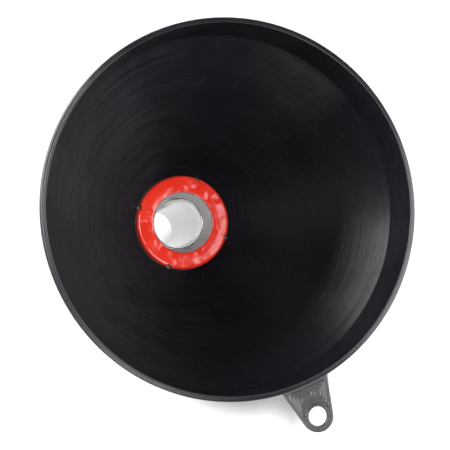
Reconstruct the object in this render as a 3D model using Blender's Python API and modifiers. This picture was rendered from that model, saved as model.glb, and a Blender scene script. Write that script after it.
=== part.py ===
"""Workshop funnel: a black moulded bowl with a hanging tab, and a metal spout held in its throat by a red ring.

Metres, +Z up along the funnel's axis, mouth up. The origin is on the axis, at the flat lower end of the neck,
where the funnel sits on a filler opening. The hanging tab points along +X.
"""

import math

import bmesh
import bpy
from mathutils import Matrix, Vector

GAP = 0.0003                      # between neighbouring solids

# Heights along the axis
RIM_TOP = 0.178
SEAT = 0.020                      # floor of the recess that the spout's flange lies in
NECK_END = 0.0
SPOUT_TIP = -0.085

# Bowl
RIM_RADIUS = 0.120
WALL = 0.0022
LIP_WIDTH = 0.0037
LIP_HEIGHT = 0.0034
BEAD_WIDTH = 0.0016               # raised inner edge of the lip
BEAD_HEIGHT = 0.0006
COLLAR_DEPTH = 0.032
COLLAR_FOOT_RADIUS = 0.114        # inside, where the collar turns into the cone
COLLAR_FOOT_DROP = 0.00165        # how far lower the collar turns into the cone on the outside
FLOOR_THICKNESS = 0.0046          # under the seat
NECK_RADIUS = 0.0242
NECK_TOP = 0.0138
NECK_TOP_RADIUS = 0.0275
NECK_BORE = 0.0204
BORE_CONE_FOOT = 0.0088
BORE_CONE_TOP_RADIUS = 0.0244

# Hanging tab
TAB_HOLE_AT = 0.1406              # from the axis
TAB_TIP_RADIUS = 0.0100
TAB_HOLE_RADIUS = 0.0061
TAB_ROOT_HALF_WIDTH = 0.0159
TAB_TOP = RIM_TOP - 0.0010
TAB_THICKNESS = 0.0034
TAB_BORDER = 0.0016
TAB_ROOT_BORDER = 0.0022          # from the rim to the recess
TAB_RECESS = 0.0004
TAB_EDGE = 0.0005                 # rounding of the tab's edges

# Snap nibs round the throat
NIB_COUNT = 4
NIB_TURN = math.radians(49)       # the first nib, counted from the tab
NIB_WIDTH = 0.0024
NIB_HEIGHT = 0.0030
NIB_REACH = 0.0016                # how far a nib reaches into the ring's slot
NIB_ROOT = 0.0005                 # how deep a nib is rooted in the seat and in the recess's wall

# Retaining ring
RING_RADIUS = 0.0334
RING_HOLE = 0.0216
RING_TOP = RIM_TOP - 0.1497
RING_ROUND = 0.0024
RING_DISH = 0.0005
RING_SKIRT = 0.0018
SLOT_OVERSHOOT = 0.0020           # of the slots' cutters, past the ring
RECESS_RADIUS = RING_RADIUS + 0.0008
RECESS_DEPTH = 0.0026

# Gasket and spout
GASKET_THICKNESS = 0.0013
GASKET_BORE = 0.0252
FLANGE_THICKNESS = 0.0012
FLANGE_RADIUS = RING_RADIUS - RING_SKIRT - GAP
SLEEVE_WALL = 0.0010
SLEEVE_MOUTH = 0.0222             # inside, at the flange
SLEEVE_BORE = 0.0189              # inside, where the tube is pushed in
SLEEVE_CONE_FOOT = 0.0110
SLEEVE_END = -0.0040
TUBE_WALL = 0.0010
TUBE_TOP = 0.0104
TUBE_TOP_RADIUS = SLEEVE_BORE - GAP
TUBE_STRAIGHT_END = -0.0060
TUBE_TIP_RADIUS = 0.0153

# Fillets
EDGE_FILLET = 0.0004              # an edge that is nearly sharp
LIP_FILLET = 0.0009
COLLAR_FOOT_FILLET = 0.0025
COLLAR_OUTER_FILLET = 0.0050
FLOOR_FILLET = 0.0020
NECK_FILLET = 0.0014
SLEEVE_MOUTH_FILLET = 0.0012
FLANGE_FILLET = 0.0010
SLEEVE_FILLET = 0.0030
TUBE_FILLET = 0.0100

# Facets round the axis, and along a fillet
BOWL_SIDES = 72
RING_SIDES = 64
SPOUT_SIDES = 40
SMALL_FILLET = 0.0008
SMALL_FILLET_STEP = math.radians(90)
FILLET_STEP = math.radians(22)

GASKET_TOP = SEAT + GAP + GASKET_THICKNESS
FLANGE_FOOT = GASKET_TOP + GAP
FLANGE_TOP = FLANGE_FOOT + FLANGE_THICKNESS


def clear_scene():
    for old in list(bpy.data.objects):
        bpy.data.objects.remove(old, do_unlink=True)


def new_collection(name):
    made = bpy.data.collections.new(name)
    bpy.context.scene.collection.children.link(made)
    return made


def principled(name, colour, roughness, metallic=0.0):
    made = bpy.data.materials.new(name)
    made.use_nodes = True
    shader = made.node_tree.nodes["Principled BSDF"]
    shader.inputs["Base Color"].default_value = (*colour, 1.0)
    shader.inputs["Roughness"].default_value = roughness
    shader.inputs["Metallic"].default_value = metallic
    return made


def rounded(corners):
    """The points of a closed profile. A corner is (radius, height) or (radius, height, fillet radius)."""
    points = []
    for index, corner in enumerate(corners):
        here = Vector(corner[:2])
        fillet = corner[2] if len(corner) > 2 else 0.0
        if not fillet:
            points.append(here)
            continue
        before = (Vector(corners[index - 1][:2]) - here).normalized()
        after = (Vector(corners[(index + 1) % len(corners)][:2]) - here).normalized()
        half = before.angle(after) / 2
        centre = here + (before + after).normalized() * (fillet / math.sin(half))
        start = here + before * (fillet / math.tan(half)) - centre
        end = here + after * (fillet / math.tan(half)) - centre
        sweep = start.angle_signed(end)
        step = SMALL_FILLET_STEP if fillet < SMALL_FILLET else FILLET_STEP
        count = max(1, round(abs(sweep) / step))
        for turn in range(count + 1):
            spoke = start.copy()
            spoke.rotate(Matrix.Rotation(-sweep * turn / count, 2))
            points.append(centre + spoke)
    return points


def turned(name, corners, sides, collection):
    """A closed profile turned about the Z axis. It runs down its outer side and up its inner side."""
    points = rounded(corners)
    mesh = bpy.data.meshes.new(name)
    edges = [(index, (index + 1) % len(points)) for index in range(len(points))]
    mesh.from_pydata([(point.x, 0.0, point.y) for point in points], edges, [])
    made = bpy.data.objects.new(name, mesh)
    collection.objects.link(made)
    screw = made.modifiers.new("turn", "SCREW")
    screw.axis = "Z"
    screw.angle = math.tau
    screw.steps = sides
    screw.render_steps = sides
    screw.use_merge_vertices = True
    screw.merge_threshold = 0.00001
    screw.use_smooth_shade = True
    return made


def plate(name, outlines, thickness, matrix, collection):
    """A flat plate of the given outlines, each a closed list of (x, y), centred on its own plane."""
    curve = bpy.data.curves.new(name, "CURVE")
    curve.dimensions = "2D"
    curve.fill_mode = "BOTH"
    curve.extrude = thickness / 2
    for outline in outlines:
        spline = curve.splines.new("POLY")
        spline.points.add(len(outline) - 1)
        for point, (x, y) in zip(spline.points, outline):
            point.co = (x, y, 0.0, 1.0)
        spline.use_cyclic_u = True
    guide = bpy.data.objects.new(name, curve)
    collection.objects.link(guide)
    guide.matrix_world = matrix
    return as_mesh(guide, collection)


def as_mesh(source, collection):
    """Replaces an object by a plain mesh object of its evaluated shape."""
    bpy.context.view_layer.update()
    evaluated = source.evaluated_get(bpy.context.evaluated_depsgraph_get())
    mesh = bpy.data.meshes.new_from_object(evaluated)
    welder = bmesh.new()
    welder.from_mesh(mesh)
    bmesh.ops.remove_doubles(welder, verts=welder.verts, dist=0.00001)
    bmesh.ops.recalc_face_normals(welder, faces=welder.faces)
    welder.to_mesh(mesh)
    welder.free()
    name = source.name
    matrix = source.matrix_world.copy()
    bpy.data.objects.remove(source, do_unlink=True)
    made = bpy.data.objects.new(name, mesh)
    collection.objects.link(made)
    made.matrix_world = matrix
    return made


def block(name, size, matrix, collection):
    mesh = bpy.data.meshes.new(name)
    maker = bmesh.new()
    bmesh.ops.create_cube(maker, size=1.0, matrix=Matrix.Diagonal((*size, 1.0)))
    maker.to_mesh(mesh)
    maker.free()
    made = bpy.data.objects.new(name, mesh)
    collection.objects.link(made)
    made.matrix_world = matrix
    return made


def combine(target, other, operation):
    other.hide_render = True
    other.display_type = "WIRE"
    boolean = target.modifiers.new(operation.lower() + " " + other.name, "BOOLEAN")
    boolean.operation = operation
    boolean.solver = "EXACT"
    boolean.object = other


def finish(piece, material, collection):
    """Settles a piece's shape, and gives it its shading and its material."""
    made = as_mesh(piece, collection)
    made.data.shade_smooth()
    made.data.set_sharp_from_angle(angle=math.radians(32))
    made.data.materials.clear()
    made.data.materials.append(material)
    return made


def around(turn, radius, height):
    """A place on a circle about the axis, turned to face outwards."""
    return Matrix.Rotation(turn, 4, "Z") @ Matrix.Translation((radius, 0.0, height))


def arc(centre_x, radius, start, end, count):
    """Points on an arc about (centre_x, 0), both ends included."""
    turns = [start + (end - start) * index / count for index in range(count + 1)]
    return [(centre_x + radius * math.cos(turn), radius * math.sin(turn)) for turn in turns]


# The cone's inner line, from the collar's foot to the recess
CONE_TOP = RIM_TOP - COLLAR_DEPTH
CONE_FOOT = SEAT + RECESS_DEPTH
CONE_SLOPE = (COLLAR_FOOT_RADIUS - RECESS_RADIUS) / (CONE_TOP - CONE_FOOT)
CONE_OFFSET = WALL * math.hypot(1.0, CONE_SLOPE)      # the wall's thickness, measured level


def cone_inside(height):
    return RECESS_RADIUS + (height - CONE_FOOT) * CONE_SLOPE


def cone_outside(height):
    return cone_inside(height) + CONE_OFFSET


def bowl_profile():
    inner_rim = RIM_RADIUS - LIP_WIDTH
    outer_collar = inner_rim + WALL
    floor_under = SEAT - FLOOR_THICKNESS
    foot_outside = CONE_TOP - COLLAR_FOOT_DROP
    return [
        (inner_rim, RIM_TOP, EDGE_FILLET),
        (inner_rim + BEAD_WIDTH, RIM_TOP, EDGE_FILLET),
        (inner_rim + BEAD_WIDTH, RIM_TOP - BEAD_HEIGHT),
        (RIM_RADIUS, RIM_TOP - BEAD_HEIGHT, LIP_FILLET),
        (RIM_RADIUS, RIM_TOP - LIP_HEIGHT, EDGE_FILLET),
        (outer_collar, RIM_TOP - LIP_HEIGHT),
        (cone_outside(foot_outside), foot_outside, COLLAR_OUTER_FILLET),
        (cone_outside(floor_under), floor_under, FLOOR_FILLET),
        (NECK_TOP_RADIUS, NECK_TOP, NECK_FILLET),
        (NECK_RADIUS, NECK_END, EDGE_FILLET),
        (NECK_BORE, NECK_END),
        (NECK_BORE, BORE_CONE_FOOT),
        (BORE_CONE_TOP_RADIUS, SEAT),
        (RECESS_RADIUS, SEAT),
        (RECESS_RADIUS, CONE_FOOT, EDGE_FILLET),
        (COLLAR_FOOT_RADIUS, CONE_TOP, COLLAR_FOOT_FILLET),
    ]


def tab_outline(inset):
    """The tab's outline, drawn in by inset: a round tip, and straight sides from it to the rim."""
    tip = TAB_TIP_RADIUS - inset
    root = TAB_ROOT_HALF_WIDTH
    root_x = RIM_RADIUS - LIP_WIDTH / 2
    reach = math.hypot(TAB_HOLE_AT - root_x, root)
    lean = math.atan2(root, TAB_HOLE_AT - root_x)
    tangent = math.acos(TAB_TIP_RADIUS / reach)
    turn = math.pi - lean - tangent
    normal = Vector((math.cos(turn), math.sin(turn)))
    corner_y = root - inset / normal.y
    outline = [(root_x, -corner_y)]
    outline += arc(TAB_HOLE_AT, tip, -turn, turn, 20)
    outline.append((root_x, corner_y))
    return outline


def make_bowl(parts, cutters, material):
    bowl = turned("bowl", bowl_profile(), BOWL_SIDES, parts)

    middle = Matrix.Translation((0.0, 0.0, TAB_TOP - TAB_THICKNESS / 2))
    hole = arc(TAB_HOLE_AT, TAB_HOLE_RADIUS, math.tau, math.tau / 32, 31)
    tab = plate("tab_blank", [tab_outline(0.0), hole], TAB_THICKNESS, middle, cutters)
    rounding = tab.modifiers.new("round edges", "BEVEL")
    rounding.width = TAB_EDGE
    rounding.segments = 2
    rounding.limit_method = "ANGLE"
    rounding.angle_limit = math.radians(50)

    # The recess stops short of the rim and of the border round the hole.
    low_x = RIM_RADIUS + TAB_ROOT_BORDER
    outline = [(max(x, low_x), y) for x, y in tab_outline(TAB_BORDER)]
    border = arc(TAB_HOLE_AT, TAB_HOLE_RADIUS + TAB_BORDER, math.tau, math.tau / 32, 31)
    top_face = Matrix.Translation((0.0, 0.0, TAB_TOP))
    pocket = plate("tab_pocket", [outline, border], TAB_RECESS * 2, top_face, cutters)
    combine(tab, pocket, "DIFFERENCE")
    combine(bowl, as_mesh(tab, cutters), "UNION")

    # Each nib stands on the seat, and its back is rooted in the recess's wall.
    nib_foot = SEAT - NIB_ROOT
    nib_top = CONE_FOOT + NIB_HEIGHT
    nib_inner = RING_RADIUS - NIB_REACH
    nib_outer = RECESS_RADIUS + NIB_ROOT
    nib_middle = (nib_foot + nib_top) / 2
    nib_size = (nib_outer - nib_inner, NIB_WIDTH, nib_top - nib_foot)
    for index in range(NIB_COUNT):
        turn = NIB_TURN + math.tau * index / NIB_COUNT
        place = around(turn, (nib_inner + nib_outer) / 2, nib_middle)
        combine(bowl, block(f"nib_{index}", nib_size, place, cutters), "UNION")
    return finish(bowl, material, parts)


def make_ring(parts, cutters, material):
    """A ring with a skirt that closes round the flange and the gasket, and a slot for each nib."""
    profile = [
        (RING_RADIUS, RING_TOP, RING_ROUND),
        (RING_RADIUS, SEAT + GAP, EDGE_FILLET),
        (RING_RADIUS - RING_SKIRT, SEAT + GAP),
        (RING_RADIUS - RING_SKIRT, FLANGE_TOP + GAP),
        (RING_HOLE, FLANGE_TOP + GAP, EDGE_FILLET),
        (RING_HOLE, RING_TOP - RING_DISH, EDGE_FILLET),
    ]
    ring = turned("retaining_ring", profile, RING_SIDES, parts)
    slot_depth = NIB_REACH + GAP
    size = (slot_depth + SLOT_OVERSHOOT, NIB_WIDTH + 2 * GAP, 2 * (RING_TOP - SEAT))
    for index in range(NIB_COUNT):
        turn = NIB_TURN + math.tau * index / NIB_COUNT
        place = around(turn, RING_RADIUS - slot_depth + size[0] / 2, SEAT)
        combine(ring, block(f"slot_{index}", size, place, cutters), "DIFFERENCE")
    return finish(ring, material, parts)


def make_gasket(parts, material):
    profile = [
        (FLANGE_RADIUS, GASKET_TOP),
        (FLANGE_RADIUS, SEAT + GAP),
        (GASKET_BORE, SEAT + GAP),
        (GASKET_BORE, GASKET_TOP),
    ]
    return finish(turned("seat_gasket", profile, SPOUT_SIDES, parts), material, parts)


def make_sleeve(parts, material):
    profile = [
        (FLANGE_RADIUS, FLANGE_TOP),
        (FLANGE_RADIUS, FLANGE_FOOT),
        (SLEEVE_MOUTH + SLEEVE_WALL, FLANGE_FOOT, FLANGE_FILLET),
        (SLEEVE_BORE + SLEEVE_WALL, SLEEVE_CONE_FOOT, SLEEVE_FILLET),
        (SLEEVE_BORE + SLEEVE_WALL, SLEEVE_END, EDGE_FILLET),
        (SLEEVE_BORE, SLEEVE_END),
        (SLEEVE_BORE, SLEEVE_CONE_FOOT, SLEEVE_FILLET),
        (SLEEVE_MOUTH, FLANGE_TOP, SLEEVE_MOUTH_FILLET),
    ]
    return finish(turned("spout_sleeve", profile, SPOUT_SIDES, parts), material, parts)


def make_tube(parts, material):
    profile = [
        (TUBE_TOP_RADIUS, TUBE_TOP),
        (TUBE_TOP_RADIUS, TUBE_STRAIGHT_END, TUBE_FILLET),
        (TUBE_TIP_RADIUS, SPOUT_TIP, EDGE_FILLET),
        (TUBE_TIP_RADIUS - TUBE_WALL, SPOUT_TIP),
        (TUBE_TOP_RADIUS - TUBE_WALL, TUBE_STRAIGHT_END, TUBE_FILLET),
        (TUBE_TOP_RADIUS - TUBE_WALL, TUBE_TOP, EDGE_FILLET),
    ]
    return finish(turned("spout_tube", profile, SPOUT_SIDES, parts), material, parts)


def main():
    clear_scene()
    parts = new_collection("funnel")
    cutters = new_collection("cutters")
    black_plastic = principled("black_plastic", (0.018, 0.018, 0.021), 0.42)
    red_plastic = principled("red_plastic", (0.72, 0.035, 0.018), 0.16)
    black_rubber = principled("black_rubber", (0.03, 0.03, 0.03), 0.8)
    plated_steel = principled("plated_steel", (0.55, 0.55, 0.54), 0.34, 1.0)
    bare_aluminium = principled("bare_aluminium", (0.74, 0.74, 0.73), 0.5, 1.0)
    make_bowl(parts, cutters, black_plastic)
    make_ring(parts, cutters, red_plastic)
    make_gasket(parts, black_rubber)
    make_sleeve(parts, plated_steel)
    make_tube(parts, bare_aluminium)


main()
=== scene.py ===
import math

import bmesh
import bpy
from mathutils import Matrix, Vector, geometry


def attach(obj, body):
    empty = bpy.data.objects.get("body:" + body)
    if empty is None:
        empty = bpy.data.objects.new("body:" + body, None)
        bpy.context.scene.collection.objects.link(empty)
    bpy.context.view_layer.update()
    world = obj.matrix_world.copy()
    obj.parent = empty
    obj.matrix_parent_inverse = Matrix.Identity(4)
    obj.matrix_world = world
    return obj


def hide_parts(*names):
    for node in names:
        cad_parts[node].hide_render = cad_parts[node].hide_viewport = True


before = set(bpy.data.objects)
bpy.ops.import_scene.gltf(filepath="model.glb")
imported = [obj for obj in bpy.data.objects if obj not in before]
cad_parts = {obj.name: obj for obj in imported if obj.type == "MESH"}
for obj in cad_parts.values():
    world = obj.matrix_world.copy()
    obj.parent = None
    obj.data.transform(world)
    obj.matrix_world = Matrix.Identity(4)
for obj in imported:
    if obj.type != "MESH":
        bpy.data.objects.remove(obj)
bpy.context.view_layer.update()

# The funnel's dimensions, in metres
GAP = 0.0003
RIM_TOP = 0.178
SEAT = 0.020
SPOUT_TIP = -0.085
RIM_RADIUS = 0.120
WALL = 0.0022
LIP_WIDTH = 0.0037
LIP_HEIGHT = 0.0034
BEAD_WIDTH = 0.0016
BEAD_HEIGHT = 0.0006
CONE_TOP = 0.146
CONE_FOOT = 0.0226
COLLAR_FOOT_RADIUS = 0.114
COLLAR_FOOT_DROP = 0.00165
FLOOR_THICKNESS = 0.0046
NECK_RADIUS = 0.0242
NECK_TOP = 0.0138
NECK_TOP_RADIUS = 0.0275
NECK_BORE = 0.0204
BORE_CONE_FOOT = 0.0088
BORE_CONE_TOP_RADIUS = 0.0244
TAB_HOLE_AT = 0.1406
TAB_TIP_RADIUS = 0.0100
TAB_HOLE_RADIUS = 0.0061
TAB_ROOT_HALF_WIDTH = 0.0159
TAB_ROOT_X = 0.11815
TAB_TOP = 0.1770
TAB_THICKNESS = 0.0034
TAB_BORDER = 0.0016
TAB_RECESS = 0.0004
NIB_COUNT = 4
NIB_TURN = math.radians(49)
NIB_WIDTH = 0.0024
NIB_HEIGHT = 0.0030
NIB_REACH = 0.0016
NIB_ROOT = 0.0005
NIB_ROUNDING = 0.00035
NIB_LEAD_IN = 0.0007
RING_RADIUS = 0.0334
RING_HOLE = 0.0216
RING_TOP = 0.0283
RING_ROUND = 0.0024
RING_DISH = 0.00005
RING_CROWN = 0.0005
RING_SKIRT = 0.0018
RECESS_RADIUS = 0.0342
GASKET_TOP = 0.0216
GASKET_BORE = 0.0252
FLANGE_RADIUS = 0.0313
FLANGE_FOOT = 0.0219
FLANGE_TOP = 0.0231
SLEEVE_WALL = 0.0010
SLEEVE_MOUTH = 0.0222
SLEEVE_BORE = 0.0189
SLEEVE_CONE_FOOT = 0.0110
SLEEVE_END = -0.0040
TUBE_WALL = 0.0010
TUBE_TOP = 0.0104
TUBE_TOP_RADIUS = 0.0186
TUBE_STRAIGHT_END = -0.0060
TUBE_TIP_RADIUS = 0.0153

CONE_SLOPE = (COLLAR_FOOT_RADIUS - RECESS_RADIUS) / (CONE_TOP - CONE_FOOT)
CONE_OFFSET = WALL * math.hypot(1.0, CONE_SLOPE)


# ---------------------------------------------------------------- shapes

def rounded(corners, step=math.radians(9)):
    """The points of a closed profile.

    A corner is (radius, height) or (radius, height, fillet radius).
    """
    points = []
    for index, corner in enumerate(corners):
        here = Vector(corner[:2])
        fillet = corner[2] if len(corner) > 2 else 0.0
        if not fillet:
            points.append(here)
            continue
        before = (Vector(corners[index - 1][:2]) - here).normalized()
        after = (Vector(corners[(index + 1) % len(corners)][:2]) - here).normalized()
        half = before.angle(after) / 2
        centre = here + (before + after).normalized() * (fillet / math.sin(half))
        start = here + before * (fillet / math.tan(half)) - centre
        end = here + after * (fillet / math.tan(half)) - centre
        sweep = start.angle_signed(end)
        count = max(2, round(abs(sweep) / step))
        for turn in range(count + 1):
            spoke = start.copy()
            spoke.rotate(Matrix.Rotation(-sweep * turn / count, 2))
            points.append(centre + spoke)
    return points


def densified(points, longest, margin=0.00025):
    """Splits a closed profile's long runs. A short step at each end keeps the shading true."""
    result = []
    for index, start in enumerate(points):
        end = points[(index + 1) % len(points)]
        result.append(start)
        run = (end - start).length
        if run > 4 * margin:
            count = max(1, math.ceil((run - 2 * margin) / longest))
            for part in range(count + 1):
                share = (margin + (run - 2 * margin) * part / count) / run
                result.append(start.lerp(end, share))
    return result


def in_scene(name, data):
    """A new object with the given data: a mesh, a light or a camera."""
    made = bpy.data.objects.new(name, data)
    bpy.context.scene.collection.objects.link(made)
    return made


def mesh_object(name, verts, faces):
    mesh = bpy.data.meshes.new(name)
    mesh.from_pydata(verts, [], faces)
    mesh.update()
    return in_scene(name, mesh)


def bmesh_object(name, maker):
    mesh = bpy.data.meshes.new(name)
    maker.to_mesh(mesh)
    maker.free()
    return in_scene(name, mesh)


def turned(name, corners, sides, longest=0.003):
    """A closed profile turned about Z. It runs down its outer side and up its inner side."""
    profile = densified(rounded(corners), longest)
    rows = len(profile)
    turns = [math.tau * side / sides for side in range(sides)]
    verts = [(p.x * math.cos(t), p.x * math.sin(t), p.y) for t in turns for p in profile]
    faces = []
    for side in range(sides):
        here = side * rows
        there = (side + 1) % sides * rows
        for row in range(rows):
            below = (row + 1) % rows
            faces.append((here + row, here + below, there + below, there + row))
    return mesh_object(name, verts, faces)


def apply_modifiers(piece):
    """Replaces the piece's mesh by the one that its modifiers make."""
    bpy.context.view_layer.update()
    evaluated = piece.evaluated_get(bpy.context.evaluated_depsgraph_get())
    mesh = bpy.data.meshes.new_from_object(evaluated)
    piece.modifiers.clear()
    piece.data = mesh


def smooth(piece, angle=32):
    piece.data.shade_smooth()
    piece.data.set_sharp_from_angle(angle=math.radians(angle))
    return piece


def block(name, size, matrix, bevel=0.0):
    """A rounded block, of the given size, in its place."""
    maker = bmesh.new()
    bmesh.ops.create_cube(maker, size=1.0, matrix=Matrix.Diagonal((*size, 1.0)))
    if bevel:
        bmesh.ops.bevel(maker, geom=list(maker.edges), offset=bevel, segments=3, profile=0.5,
                        affect="EDGES")
    bmesh.ops.transform(maker, matrix=matrix, verts=maker.verts)
    return bmesh_object(name, maker)


def around(turn, radius, height):
    """The place at a turn about Z, a radius and a height."""
    return Matrix.Rotation(turn, 4, "Z") @ Matrix.Translation((radius, 0.0, height))


def joined(name, pieces):
    """Several mesh objects as one."""
    maker = bmesh.new()
    for piece in pieces:
        maker.from_mesh(piece.data)
        bpy.data.objects.remove(piece, do_unlink=True)
    return bmesh_object(name, maker)


def make_bowl():
    inner_rim = RIM_RADIUS - LIP_WIDTH
    outer_collar = inner_rim + WALL
    floor_under = SEAT - FLOOR_THICKNESS
    foot_outside = CONE_TOP - COLLAR_FOOT_DROP

    def cone_outside(height):
        return RECESS_RADIUS + (height - CONE_FOOT) * CONE_SLOPE + CONE_OFFSET

    corners = [
        (inner_rim, RIM_TOP, 0.0005),
        (inner_rim + BEAD_WIDTH, RIM_TOP, 0.0005),
        (inner_rim + BEAD_WIDTH + 0.0001, RIM_TOP - BEAD_HEIGHT, 0.0002),
        (RIM_RADIUS, RIM_TOP - BEAD_HEIGHT, 0.0016),
        (RIM_RADIUS, RIM_TOP - LIP_HEIGHT, 0.0006),
        (outer_collar, RIM_TOP - LIP_HEIGHT, 0.0004),
        (cone_outside(foot_outside), foot_outside, 0.0050),
        (cone_outside(floor_under), floor_under, 0.0020),
        (NECK_TOP_RADIUS, NECK_TOP, 0.0014),
        (NECK_RADIUS, 0.0, 0.0006),
        (NECK_BORE, 0.0, 0.0003),
        (NECK_BORE, BORE_CONE_FOOT, 0.0005),
        (BORE_CONE_TOP_RADIUS, SEAT, 0.0003),
        (RECESS_RADIUS, SEAT, 0.0003),
        (RECESS_RADIUS, CONE_FOOT, 0.0004),
        (COLLAR_FOOT_RADIUS, CONE_TOP, 0.0022),
    ]
    return smooth(turned("bowl_shell", corners, 288))


# The tab's outline: a round tip, with straight sides from it to the rim.
TAB_REACH = math.hypot(TAB_HOLE_AT - TAB_ROOT_X, TAB_ROOT_HALF_WIDTH)
TAB_LEAN = math.atan2(TAB_ROOT_HALF_WIDTH, TAB_HOLE_AT - TAB_ROOT_X)
TAB_SIDE_TURN = math.pi - TAB_LEAN - math.acos(TAB_TIP_RADIUS / TAB_REACH)
TAB_BURIED_X = 0.1168             # the tab's root, inside the rim's wall
TAB_EDGE_ROUNDING = 0.00060
TAB_RECESS_CORNER = 0.0040
TAB_RECESS_SLOPE = 0.00045        # the width of the step down into the recess
TAB_RIDGE = 0.00007
TAB_RIDGE_PITCH = 0.0014
TAB_MARK = (0.1260, 0.0023)       # the middle of a round moulding mark: a dimple with a raised circle
TAB_MARK_RADIUS = 0.0022
TAB_MARK_DEPTH = 0.00020
TAB_CIRCLE_RADIUS = 0.0014
TAB_CIRCLE_WIDTH = 0.0003
TAB_CIRCLE_HEIGHT = 0.00018

# How finely the tab is meshed: points round its edges, rows of points beside them, and a grid
TAB_SIDE_POINTS = 64
TAB_HOLE_POINTS = 112
TAB_EDGE_ROWS = (0.00004, 0.00012, 0.00024, 0.00038, 0.00055)
TAB_GRID = 0.00030
TAB_GRID_MARGIN = 0.00068


def from_tab_edge(x, y):
    """How far a point lies inside the tab's outer edge."""
    normal = Vector((math.cos(TAB_SIDE_TURN), math.sin(TAB_SIDE_TURN)))
    along = Vector((x - TAB_HOLE_AT, abs(y)))
    if math.atan2(abs(y), x - TAB_HOLE_AT) <= TAB_SIDE_TURN:
        return TAB_TIP_RADIUS - along.length
    return TAB_TIP_RADIUS - along.dot(normal)


def from_tab_hole(x, y):
    return math.hypot(x - TAB_HOLE_AT, y) - TAB_HOLE_RADIUS


def about_tab_hole(turn, radius):
    return Vector((TAB_HOLE_AT + radius * math.cos(turn), radius * math.sin(turn)))


def tab_rounding(x, y):
    """How far the rounded edge lies inside a face's plane."""
    edge = max(min(from_tab_edge(x, y), from_tab_hole(x, y)), 0.0)
    if edge >= TAB_EDGE_ROUNDING:
        return 0.0
    return TAB_EDGE_ROUNDING - math.sqrt(TAB_EDGE_ROUNDING ** 2 - (TAB_EDGE_ROUNDING - edge) ** 2)


def tab_front(x, y):
    """How far the front lies inside its plane: rounded edge, raised border and ridged recess."""
    outer = max(from_tab_edge(x, y), 0.0)
    hole = max(from_tab_hole(x, y), 0.0)
    fall = tab_rounding(x, y)
    depth = outer - TAB_BORDER
    for other in (hole - TAB_BORDER * 0.9, math.hypot(x, y) - RIM_RADIUS - 0.0008):
        near = max(TAB_RECESS_CORNER - abs(depth - other), 0.0) / TAB_RECESS_CORNER
        depth = min(depth, other) - near * near * TAB_RECESS_CORNER / 4
    if depth > 0:
        into = min(depth / TAB_RECESS_SLOPE, 1.0)
        ease = into * into * (3 - 2 * into)
        fall += TAB_RECESS * ease
        # tooling ridges that follow the recess's own outline
        fall -= TAB_RIDGE * ease * math.sin(depth * math.tau / TAB_RIDGE_PITCH)
        mark = math.hypot(x - TAB_MARK[0], y - TAB_MARK[1])
        if mark < TAB_MARK_RADIUS:
            fall += TAB_MARK_DEPTH * math.cos(mark / TAB_MARK_RADIUS * math.pi / 2) ** 2
            circle = (mark - TAB_CIRCLE_RADIUS) / TAB_CIRCLE_WIDTH
            fall -= TAB_CIRCLE_HEIGHT * math.exp(-circle ** 2)
    return fall


def tab_loop(count, inset=0.0):
    """The outline's points, from the root round the tip and back."""
    tip = TAB_TIP_RADIUS - inset
    side = Vector((math.cos(TAB_SIDE_TURN), math.sin(TAB_SIDE_TURN)))
    start = Vector((TAB_HOLE_AT, 0.0)) + side * tip
    run = Vector((-side.y, side.x))
    root = start + run * ((TAB_BURIED_X - start.x) / run.x)
    points = [root.lerp(start, part / count) for part in range(count)]
    arc = int(count * 1.8)
    for part in range(arc + 1):
        points.append(about_tab_hole(TAB_SIDE_TURN * (1 - 2 * part / arc), tip))
    mirror = [Vector((p.x, -p.y)) for p in points[:count]]
    points += mirror[::-1]
    width = int(count * 1.2)
    last = points[-1]
    points += [last.lerp(points[0], part / width) for part in range(1, width)]
    return points


def closed_loop(first, count):
    """The edges of a closed loop of points that starts at the given index."""
    return [(first + i, first + (i + 1) % count) for i in range(count)]


def tab_plan():
    """The points and the fixed edges that the tab's faces are meshed from, seen from above."""
    outline = tab_loop(TAB_SIDE_POINTS)
    points = list(outline)
    for step in range(TAB_HOLE_POINTS):
        points.append(about_tab_hole(math.tau * step / TAB_HOLE_POINTS, TAB_HOLE_RADIUS))
    edges = closed_loop(0, len(outline)) + closed_loop(len(outline), TAB_HOLE_POINTS)
    for inset in TAB_EDGE_ROWS:
        for p in tab_loop(TAB_SIDE_POINTS, inset):
            if p.x > TAB_BURIED_X + 0.0002 and from_tab_edge(p.x, p.y) > inset * 0.9:
                points.append(p)
        for step in range(TAB_HOLE_POINTS):
            turn = math.tau * (step + 0.5) / TAB_HOLE_POINTS
            points.append(about_tab_hole(turn, TAB_HOLE_RADIUS + inset))
    columns = int((TAB_HOLE_AT + TAB_TIP_RADIUS - TAB_BURIED_X) / TAB_GRID)
    rows = int(TAB_ROOT_HALF_WIDTH * 1.2 / TAB_GRID)
    for column in range(1, columns):
        for row in range(-rows, rows + 1):
            x = TAB_BURIED_X + column * TAB_GRID
            y = (row + 0.5 * (column % 2)) * TAB_GRID
            if min(from_tab_edge(x, y), from_tab_hole(x, y)) > TAB_GRID_MARGIN:
                points.append(Vector((x, y)))
    return points, edges


def on_tab(p):
    """Whether a triangle's middle lies on the tab.

    The hole's straight chords run just inside its circle.
    """
    clear_of_hole = math.hypot(p.x - TAB_HOLE_AT, p.y) > TAB_HOLE_RADIUS * 0.9995
    return clear_of_hole and p.x > TAB_BURIED_X and from_tab_edge(p.x, p.y) > -0.00001


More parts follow.
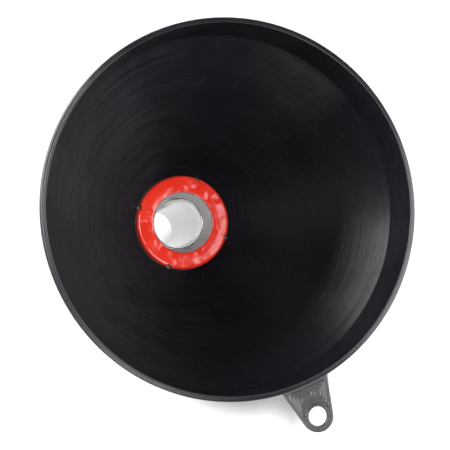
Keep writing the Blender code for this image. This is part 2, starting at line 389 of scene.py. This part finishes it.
def make_tab():
    """The hanging tab, with both faces shaped point by point from their distance to its edges."""
    points, edges = tab_plan()
    flat, _, triangles, _, _, _ = geometry.delaunay_2d_cdt(points, edges, [], 0, 1e-7)
    front = [(a, b, c) for a, b, c in triangles if on_tab((flat[a] + flat[b] + flat[c]) / 3)]
    count = len(flat)
    verts = [(p.x, p.y, TAB_TOP - tab_front(p.x, p.y)) for p in flat]
    verts += [(p.x, p.y, TAB_TOP - TAB_THICKNESS + tab_rounding(p.x, p.y)) for p in flat]
    faces = front + [(c + count, b + count, a + count) for a, b, c in front]
    sides = [pair for face in front for pair in zip(face, face[1:] + face[:1])]
    known = set(sides)
    faces += [(a, a + count, b + count, b) for a, b in sides if (b, a) not in known]
    tab = mesh_object("hanging_tab", verts, faces)
    cleaner = bmesh.new()
    cleaner.from_mesh(tab.data)
    loose = [vert for vert in cleaner.verts if not vert.link_faces]
    bmesh.ops.delete(cleaner, geom=loose, context="VERTS")
    bmesh.ops.recalc_face_normals(cleaner, faces=cleaner.faces)
    cleaner.to_mesh(tab.data)
    cleaner.free()
    return smooth(tab, 50)


def make_nibs():
    """The small snap nibs round the throat, each with a sloping lead-in."""
    foot = SEAT - NIB_ROOT
    top = CONE_FOOT + NIB_HEIGHT
    inner = RING_RADIUS - NIB_REACH
    outer = RECESS_RADIUS + NIB_ROOT
    made = []
    for index in range(NIB_COUNT):
        turn = NIB_TURN + math.tau * index / NIB_COUNT
        place = around(turn, (inner + outer) / 2, (foot + top) / 2)
        size = (outer - inner, NIB_WIDTH, top - foot)
        nib = block(f"nib_{index}", size, Matrix.Identity(4), NIB_ROUNDING)
        for vert in nib.data.vertices:
            if vert.co.z > 0 and vert.co.x > 0:
                vert.co.z -= NIB_LEAD_IN * vert.co.x / (outer - inner)
        nib.data.transform(place)
        made.append(nib)
    return smooth(joined("throat_nibs", made), 40)


def make_ring():
    profile = [
        (RING_RADIUS, RING_TOP - RING_CROWN, RING_ROUND),
        (RING_RADIUS, SEAT + GAP, 0.0003),
        (RING_RADIUS - RING_SKIRT, SEAT + GAP, 0.0002),
        (RING_RADIUS - RING_SKIRT, FLANGE_TOP + GAP),
        (RING_HOLE + 0.0002, FLANGE_TOP + GAP, 0.0004),
        (RING_HOLE, RING_TOP - RING_DISH - 0.0002, 0.0007),
        (RING_HOLE + 0.0016, RING_TOP - RING_DISH, 0.0008),
        (RING_HOLE + 0.0050, RING_TOP, 0.0120),
    ]
    ring = turned("red_ring", profile, 256, 0.0006)
    depth = NIB_REACH + GAP
    size = (depth + 0.002, NIB_WIDTH + 2 * GAP, 2 * (RING_TOP - SEAT))
    cutters = []
    for index in range(NIB_COUNT):
        turn = NIB_TURN + math.tau * index / NIB_COUNT
        place = around(turn, RING_RADIUS - depth + size[0] / 2, SEAT)
        cutter = block(f"slot_{index}", size, place, 0.0003)
        cutters.append(cutter)
        boolean = ring.modifiers.new(cutter.name, "BOOLEAN")
        boolean.operation = "DIFFERENCE"
        boolean.solver = "EXACT"
        boolean.object = cutter
    apply_modifiers(ring)
    for cutter in cutters:
        bpy.data.objects.remove(cutter, do_unlink=True)
    return smooth(ring, 35)


def make_gasket():
    foot = SEAT + GAP
    middle = (foot + GASKET_TOP) / 2
    profile = [
        (FLANGE_RADIUS, GASKET_TOP, 0.0003),
        (FLANGE_RADIUS, foot, 0.0003),
        (GASKET_BORE, foot, 0.0003),
        (GASKET_BORE + 0.00015, middle, 0.0004),
        (GASKET_BORE, GASKET_TOP, 0.0003),
    ]
    return smooth(turned("flat_gasket", profile, 160, 0.001))


def make_sleeve():
    profile = [
        (FLANGE_RADIUS, FLANGE_TOP, 0.0003),
        (FLANGE_RADIUS, FLANGE_FOOT, 0.0003),
        (SLEEVE_MOUTH + SLEEVE_WALL, FLANGE_FOOT, 0.0010),
        (SLEEVE_BORE + SLEEVE_WALL, SLEEVE_CONE_FOOT, 0.0030),
        (SLEEVE_BORE + SLEEVE_WALL, SLEEVE_END, 0.0003),
        (SLEEVE_BORE, SLEEVE_END, 0.0003),
        (SLEEVE_BORE, SLEEVE_CONE_FOOT, 0.0030),
        (SLEEVE_MOUTH, FLANGE_TOP, 0.0014),
    ]
    return smooth(turned("flanged_sleeve", profile, 192, 0.001))


def make_tube():
    profile = [
        (TUBE_TOP_RADIUS, TUBE_TOP, 0.0003),
        (TUBE_TOP_RADIUS, TUBE_STRAIGHT_END, 0.0100),
        (TUBE_TIP_RADIUS, SPOUT_TIP, 0.0003),
        (TUBE_TIP_RADIUS - TUBE_WALL, SPOUT_TIP, 0.0003),
        (TUBE_TOP_RADIUS - TUBE_WALL, TUBE_STRAIGHT_END, 0.0100),
        (TUBE_TOP_RADIUS - TUBE_WALL, TUBE_TOP, 0.0005),
    ]
    return smooth(turned("pouring_tube", profile, 192, 0.002))


# ---------------------------------------------------------------- materials

CONE_WAY = (0.54, 0.84)           # the way along the cone, as shares of radius and height
PAINTED_SHEEN_WAY = (-0.25, -0.97)         # the side of the bowl where the painted sheen is strongest


def add(tree, kind, inputs=None, **settings):
    """A node, with its settings and its inputs: numbers, colours or other nodes' outputs."""
    made = tree.nodes.new(kind)
    for key, value in settings.items():
        setattr(made, key, value)
    for key, value in (inputs or {}).items():
        if isinstance(value, bpy.types.NodeSocket):
            tree.links.new(value, made.inputs[key])
        else:
            made.inputs[key].default_value = value
    return made


def maths(tree, operation, first, second=0.0, clamp=False):
    made = add(tree, "ShaderNodeMath", {0: first, 1: second}, operation=operation, use_clamp=clamp)
    return made.outputs[0]


def total(tree, first, *others):
    for other in others:
        first = maths(tree, "ADD", first, other)
    return first


def on_vector(tree, operation, **inputs):
    sockets = {"first": 0, "second": 1, "by": "Scale"}
    inputs = {sockets[key]: value for key, value in inputs.items()}
    return add(tree, "ShaderNodeVectorMath", inputs, operation=operation)


def noise(tree, vector, scale, detail=2.0, roughness=0.5, distortion=0.0):
    made = add(tree, "ShaderNodeTexNoise", {"Vector": vector, "Scale": scale, "Detail": detail,
                                            "Roughness": roughness, "Distortion": distortion})
    return made.outputs["Fac"]


def spread(tree, value, low, high, to_low, to_high, smoothed=False):
    """Maps low..high of a value to to_low..to_high, with its ends held."""
    made = add(tree, "ShaderNodeMapRange", {"Value": value, "From Min": low, "From Max": high,
                                            "To Min": to_low, "To Max": to_high},
               interpolation_type="SMOOTHSTEP" if smoothed else "LINEAR", clamp=True)
    return made.outputs["Result"]


def mixed(tree, share, first, second):
    made = add(tree, "ShaderNodeMix", data_type="RGBA")
    for socket, value in ((made.inputs[0], share), (made.inputs[6], first), (made.inputs[7], second)):
        if isinstance(value, bpy.types.NodeSocket):
            tree.links.new(value, socket)
        else:
            socket.default_value = value
    return made.outputs[2]


def bumped(tree, height, strength, distance, under=None):
    inputs = {"Height": height, "Strength": strength, "Distance": distance}
    if under is not None:
        inputs["Normal"] = under
    return add(tree, "ShaderNodeBump", inputs).outputs["Normal"]


def new_material(name, colour, roughness, metallic=0.0):
    material = bpy.data.materials.new(name)
    material.use_nodes = True
    tree = material.node_tree
    shader = tree.nodes["Principled BSDF"]
    shader.inputs["Base Color"].default_value = (*colour, 1.0)
    shader.inputs["Roughness"].default_value = roughness
    shader.inputs["Metallic"].default_value = metallic
    return material, tree, shader


def turned_place(tree, round_share, along):
    """A place that runs slowly round the axis and fast along the profile, without a seam."""
    place = add(tree, "ShaderNodeTexCoord").outputs["Object"]
    split = add(tree, "ShaderNodeSeparateXYZ", {"Vector": place})
    across = {"X": split.outputs["X"], "Y": split.outputs["Y"]}
    flat = add(tree, "ShaderNodeCombineXYZ", across).outputs[0]
    radius = on_vector(tree, "LENGTH", first=flat).outputs["Value"]
    way = on_vector(tree, "NORMALIZE", first=flat).outputs["Vector"]
    way = on_vector(tree, "SCALE", first=way, by=round_share).outputs["Vector"]
    profile = maths(tree, "ADD", maths(tree, "MULTIPLY", radius, CONE_WAY[0]),
                    maths(tree, "MULTIPLY", split.outputs["Z"], CONE_WAY[1]))
    fast = add(tree, "ShaderNodeCombineXYZ", {"Z": maths(tree, "MULTIPLY", profile, along)})
    return on_vector(tree, "ADD", first=way, second=fast.outputs[0]).outputs["Vector"], place


def scratches(tree, place, scale, width, share):
    """Thin curved lines, broken up so that only a share of them shows."""
    line = noise(tree, place, scale, 1.0, 0.4, 0.6)
    line = maths(tree, "ABSOLUTE", maths(tree, "SUBTRACT", line, 0.5))
    line = spread(tree, line, 0.0, width, 1.0, 0.0)
    where = noise(tree, place, scale * 2.3, 2.0, 0.6)
    return maths(tree, "MULTIPLY", line, spread(tree, where, 1.0 - share, 1.02 - share, 0.0, 1.0))


def specks(tree, place, scale, size, share):
    """Small grains of dust, on a share of the cells."""
    cell = add(tree, "ShaderNodeTexVoronoi", {"Vector": place, "Scale": scale})
    grain = spread(tree, cell.outputs["Distance"], size * 0.6, size, 1.0, 0.0)
    chosen = add(tree, "ShaderNodeSeparateColor", {"Color": cell.outputs["Color"]}).outputs[0]
    return maths(tree, "MULTIPLY", grain, maths(tree, "GREATER_THAN", chosen, 1.0 - share))


def painted_sheen(tree, place, around_place, streak, painted_sheen_amount):
    """How much a painted sheen lightens the bowl: most on one side, and near the throat, broken up by
    random blotches and streaks.
    """
    way = add(tree, "ShaderNodeSeparateXYZ", {"Vector": around_place})
    height = add(tree, "ShaderNodeSeparateXYZ", {"Vector": place}).outputs["Z"]
    side = total(tree,
                 maths(tree, "MULTIPLY", way.outputs["X"], PAINTED_SHEEN_WAY[0]),
                 maths(tree, "MULTIPLY", way.outputs["Y"], PAINTED_SHEEN_WAY[1]),
                 spread(tree, noise(tree, place, 14.0, 3.0, 0.6), 0.3, 0.7, -0.45, 0.45),
                 spread(tree, streak, 0.3, 0.7, -0.4, 0.4),
                 spread(tree, height, 0.022, 0.075, 0.5, 0.0, True))
    return spread(tree, side, 0.1, 1.6, 0.0, painted_sheen_amount, True)


def black_plastic(name, colour=(0.0048, 0.0045, 0.0064), roughness=0.265, streaks=1.0, painted_sheen_amount=0.0):
    material, tree, shader = new_material(name, colour, roughness)
    around_place, place = turned_place(tree, 1.6, 620.0)
    fine_place, _ = turned_place(tree, 5.0, 2600.0)
    streak = noise(tree, around_place, 1.0, 4.0, 0.62)
    fine = noise(tree, fine_place, 1.0, 3.0, 0.6)
    blotch = noise(tree, place, 22.0, 3.0, 0.55)
    grain = noise(tree, place, 1900.0, 2.0, 0.6)
    scratch = scratches(tree, place, 27.0, 0.0022, 0.40)
    dust = specks(tree, place, 210.0, 0.055, 0.10)
    faded = (colour[0] * 1.5, colour[1] * 1.45, colour[2] * 1.4, 1.0)
    tone = mixed(tree, spread(tree, blotch, 0.35, 0.7, 0.0, 1.0), (*colour, 1.0), faded)
    if painted_sheen_amount:
        # painted sheen: a lighter grey is mixed into the bowl's colour, most on one side, standing in
        # for light
        share = painted_sheen(tree, place, around_place, streak, painted_sheen_amount)
        tone = mixed(tree, share, tone, (0.062, 0.058, 0.062, 1.0))
        # the mould's turning marks stretch the highlights
        shader.inputs["Anisotropic"].default_value = 0.6
        shader.inputs["Anisotropic Rotation"].default_value = 0.25
        tangent = add(tree, "ShaderNodeTangent", direction_type="RADIAL", axis="Z")
        tree.links.new(tangent.outputs["Tangent"], shader.inputs["Tangent"])
    tone = mixed(tree, maths(tree, "MULTIPLY", scratch, 0.22), tone, (0.055, 0.052, 0.055, 1.0))
    tone = mixed(tree, maths(tree, "MULTIPLY", dust, 0.6), tone, (0.22, 0.20, 0.20, 1.0))
    tree.links.new(tone, shader.inputs["Base Color"])
    rough = total(tree, spread(tree, streak, 0.25, 0.75, roughness - 0.05, roughness + 0.06),
                  spread(tree, blotch, 0.3, 0.7, -0.03, 0.04))
    rougher = maths(tree, "MULTIPLY", total(tree, scratch, dust), 0.15)
    tree.links.new(maths(tree, "ADD", rough, rougher, clamp=True), shader.inputs["Roughness"])
    normal = bumped(tree, streak, 0.08 * streaks, 0.0006)
    normal = bumped(tree, fine, 0.10 * streaks, 0.0002, normal)
    normal = bumped(tree, grain, 0.10, 0.00008, normal)
    normal = bumped(tree, scratch, 0.10, 0.00003, normal)
    tree.links.new(normal, shader.inputs["Normal"])
    return material


def red_plastic(name):
    base = (0.75, 0.022, 0.008)
    material, tree, shader = new_material(name, base, 0.17)
    around_place, place = turned_place(tree, 1.5, 900.0)
    swirl = noise(tree, place, 72.0, 1.0, 0.40, 0.9)
    wave = noise(tree, place, 190.0, 1.0, 0.5, 1.2)
    fine = noise(tree, around_place, 1.0, 3.0, 0.6)
    tone = mixed(tree, spread(tree, swirl, 0.32, 0.68, 0.0, 1.0),
                 (*base, 1.0), (0.79, 0.038, 0.018, 1.0))
    dust = specks(tree, place, 420.0, 0.06, 0.08)
    tone = mixed(tree, maths(tree, "MULTIPLY", dust, 0.5), tone, (0.75, 0.45, 0.40, 1.0))
    tree.links.new(tone, shader.inputs["Base Color"])
    tree.links.new(spread(tree, fine, 0.3, 0.7, 0.12, 0.22), shader.inputs["Roughness"])
    shader.inputs["Subsurface Weight"].default_value = 0.12
    shader.inputs["Subsurface Radius"].default_value = (1.0, 0.25, 0.1)
    shader.inputs["Subsurface Scale"].default_value = 0.0015
    shader.inputs["Coat Weight"].default_value = 0.25
    shader.inputs["Coat Roughness"].default_value = 0.06
    normal = bumped(tree, swirl, 0.60, 0.0020)
    normal = bumped(tree, wave, 0.10, 0.0004, normal)
    normal = bumped(tree, fine, 0.08, 0.0002, normal)
    tree.links.new(normal, shader.inputs["Normal"])
    return material


def black_rubber(name):
    base = (0.018, 0.018, 0.019)
    material, tree, shader = new_material(name, base, 0.75)
    place = add(tree, "ShaderNodeTexCoord").outputs["Object"]
    grain = noise(tree, place, 1400.0, 3.0, 0.6)
    powder = noise(tree, place, 130.0, 3.0, 0.6)
    tone = mixed(tree, spread(tree, powder, 0.45, 0.8, 0.0, 0.5),
                 (*base, 1.0), (0.07, 0.07, 0.07, 1.0))
    tree.links.new(tone, shader.inputs["Base Color"])
    tree.links.new(spread(tree, powder, 0.3, 0.7, 0.66, 0.85), shader.inputs["Roughness"])
    tree.links.new(bumped(tree, grain, 0.4, 0.0001), shader.inputs["Normal"])
    return material


def plated_steel(name):
    base = (0.84, 0.81, 0.80)
    material, tree, shader = new_material(name, base, 0.3, 0.4)
    around_place, place = turned_place(tree, 3.0, 1800.0)
    brush = noise(tree, around_place, 1.0, 4.0, 0.65)
    cloud = noise(tree, place, 160.0, 3.0, 0.6)
    tone = mixed(tree, spread(tree, cloud, 0.35, 0.7, 0.0, 1.0),
                 (*base, 1.0), (0.88, 0.86, 0.85, 1.0))
    tree.links.new(tone, shader.inputs["Base Color"])
    rough = total(tree, spread(tree, brush, 0.3, 0.7, 0.42, 0.56),
                  spread(tree, cloud, 0.3, 0.7, -0.03, 0.05))
    tree.links.new(rough, shader.inputs["Roughness"])
    normal = bumped(tree, brush, 0.25, 0.0003)
    normal = bumped(tree, cloud, 0.15, 0.0004, normal)
    tree.links.new(normal, shader.inputs["Normal"])
    return material


def bare_aluminium(name):
    base = (0.41, 0.405, 0.40)
    material, tree, shader = new_material(name, base, 0.14, 1.0)
    around_place, place = turned_place(tree, 4.0, 1500.0)
    drawn = noise(tree, around_place, 1.0, 3.0, 0.6)
    grain = noise(tree, place, 2300.0, 2.0, 0.6)
    cloud = noise(tree, place, 75.0, 3.0, 0.6)
    scratch = scratches(tree, place, 42.0, 0.006, 0.45)
    tone = mixed(tree, spread(tree, cloud, 0.35, 0.7, 0.0, 1.0),
                 (*base, 1.0), (0.37, 0.365, 0.36, 1.0))
    tone = mixed(tree, spread(tree, grain, 0.35, 0.65, 0.0, 0.8), tone, (0.27, 0.265, 0.26, 1.0))
    tone = mixed(tree, maths(tree, "MULTIPLY", scratch, 0.5), tone, (0.28, 0.27, 0.26, 1.0))
    tree.links.new(tone, shader.inputs["Base Color"])
    tree.links.new(spread(tree, grain, 0.3, 0.7, 0.10, 0.18), shader.inputs["Roughness"])
    normal = bumped(tree, drawn, 0.12, 0.0002)
    normal = bumped(tree, grain, 0.45, 0.00008, normal)
    tree.links.new(normal, shader.inputs["Normal"])
    return material


# ---------------------------------------------------------------- the pieces, each on its body

def place_piece(piece, body, material, replaced=None):
    """Gives a piece its material and its body, and says which CAD node it replaces."""
    piece.data.materials.clear()
    piece.data.materials.append(material)
    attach(piece, body)
    if replaced:
        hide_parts(replaced)
    return piece


# the bowl's plastic carries a painted sheen on one side
plastic = black_plastic("black_moulded_plastic", painted_sheen_amount=0.25)
# the same plastic as the bowl, given a lighter colour: painted light on the tab's face and painted
# highlights on the nibs
tab_plastic = black_plastic("black_tab_plastic", (0.023, 0.023, 0.026), 0.28, 0.3)
place_piece(make_bowl(), "bowl", plastic, "bowl")
place_piece(make_tab(), "bowl", tab_plastic)
place_piece(make_nibs(), "bowl", tab_plastic)
red = red_plastic("red_glossy_plastic")
ring = place_piece(make_ring(), "ring", red, "retaining_ring")
rubber = black_rubber("black_sheet_rubber")
place_piece(make_gasket(), "gasket", rubber, "seat_gasket")
steel = plated_steel("plated_pressed_steel")
sleeve = place_piece(make_sleeve(), "spout", steel, "spout_sleeve")
aluminium = bare_aluminium("drawn_aluminium")
place_piece(make_tube(), "spout", aluminium, "spout_tube")

# Their reflection would redden and lighten the whole cone more than in the photograph.
ring.visible_glossy = False
sleeve.visible_glossy = False


# ---------------------------------------------------------------- floor, light and camera

FLOOR_LEVEL = -0.60               # low, so that a lit floor shows through the open spout
FLOOR_REACH = 9.0
LENS = 128.0
SENSOR_WIDTH = 36.0
CAMERA_PLACE = Vector((-0.0281, -0.2423, 1.1411))
TOWARDS_CAMERA = Vector((-0.0361, -0.2354, 0.9712))
IMAGE_UP = Vector((-0.9236, 0.3779, 0.0578))
RIM_CENTRE = Vector((0.0, 0.0, RIM_TOP))


def make_floor():
    corners = [(x * FLOOR_REACH, y * FLOOR_REACH, FLOOR_LEVEL)
               for x, y in ((-1, -1), (1, -1), (1, 1), (-1, 1))]
    floor = mesh_object("floor", corners, [(0, 1, 2, 3)])
    material, _, shader = new_material("pale_floor", (0.86, 0.86, 0.86), 0.9)
    shader.inputs["Specular IOR Level"].default_value = 0.0
    floor.data.materials.append(material)
    return floor


floor = make_floor()


def make_camera():
    data = bpy.data.cameras.new("camera")
    data.lens = LENS
    data.sensor_width = SENSOR_WIDTH
    camera = in_scene("camera", data)
    camera.location = CAMERA_PLACE
    back = TOWARDS_CAMERA.normalized()
    right = IMAGE_UP.cross(back).normalized()
    up = back.cross(right)
    turn = Matrix((right, up, back)).transposed()
    camera.rotation_euler = turn.to_euler()
    bpy.context.scene.camera = camera


make_camera()


def make_world(camera_white, surrounding, horizon):
    """White to the camera. Everything else sees a dim room that is brighter near the horizon."""
    world = bpy.data.worlds.new("studio")
    bpy.context.scene.world = world
    world.use_nodes = True
    tree = world.node_tree
    background = tree.nodes["Background"]
    path = add(tree, "ShaderNodeLightPath")
    way = add(tree, "ShaderNodeTexCoord").outputs["Generated"]
    rise = maths(tree, "ABSOLUTE", add(tree, "ShaderNodeSeparateXYZ", {"Vector": way}).outputs["Z"])
    glow = spread(tree, rise, 0.0, 0.35, horizon, surrounding, True)
    strength = add(tree, "ShaderNodeMapRange", {"Value": path.outputs["Is Camera Ray"],
                                                "To Min": glow, "To Max": camera_white})
    background.inputs["Color"].default_value = (1.0, 1.0, 1.0, 1.0)
    tree.links.new(strength.outputs["Result"], background.inputs["Strength"])


make_world(1.0, 0.045, 0.40)

# A light whose receiver is this collection lights everything but the floor.
all_but_floor = bpy.data.collections.new("all_but_floor")
all_but_floor.objects.link(floor)
all_but_floor.collection_objects[0].light_linking.link_state = "EXCLUDE"


def softbox(name, turn, tilt, distance, size, power, floor_too=False, colour=(0.97, 0.98, 1.0)):
    """An area light that faces the rim's centre.

    Its direction is a turn about Z from +X and a tilt from the vertical, both in degrees.
    """
    data = bpy.data.lights.new(name, "AREA")
    data.shape = "RECTANGLE"
    data.size = size[0]
    data.size_y = size[1]
    data.energy = power
    data.color = colour
    light = in_scene(name, data)
    lean = math.radians(tilt)
    bearing = math.radians(turn)
    flat = math.sin(lean)
    way = Vector((flat * math.cos(bearing), flat * math.sin(bearing), math.cos(lean)))
    light.location = RIM_CENTRE + way * distance
    light.rotation_euler = way.to_track_quat("Z", "Y").to_euler()
    light.visible_camera = False
    if not floor_too:
        light.light_linking.receiver_collection = all_but_floor


def floor_sun(strength, shift):
    """A small, hard light that only the floor takes. The rim's shadow shifts by the given X and Y."""
    data = bpy.data.lights.new("floor_light", "SUN")
    data.energy = strength
    data.angle = math.radians(2.2)
    light = in_scene("floor_light", data)
    way = Vector((-shift[0], -shift[1], RIM_TOP - FLOOR_LEVEL)).normalized()
    light.rotation_euler = way.to_track_quat("Z", "Y").to_euler()
    only_floor = bpy.data.collections.new("lit_by_floor_light")
    only_floor.objects.link(floor)
    light.light_linking.receiver_collection = only_floor


floor_sun(3.3, (0.1315, 0.1700))
softbox("overhead", 330, 24, 1.4, (0.55, 0.55), 8.8)
softbox("upper_right", 66, 26, 1.4, (0.46, 0.46), 3.2)
softbox("upper_left", 245, 28, 1.4, (0.45, 0.45), 10.0)
softbox("right", 62, 52, 1.2, (0.8, 0.8), 17.0, True)
softbox("low_left", 218, 78, 1.1, (0.9, 0.22), 24.0)
softbox("low_front", 315, 72, 1.2, (0.6, 0.4), 4.0)

bpy.context.scene.view_settings.view_transform = "Standard"
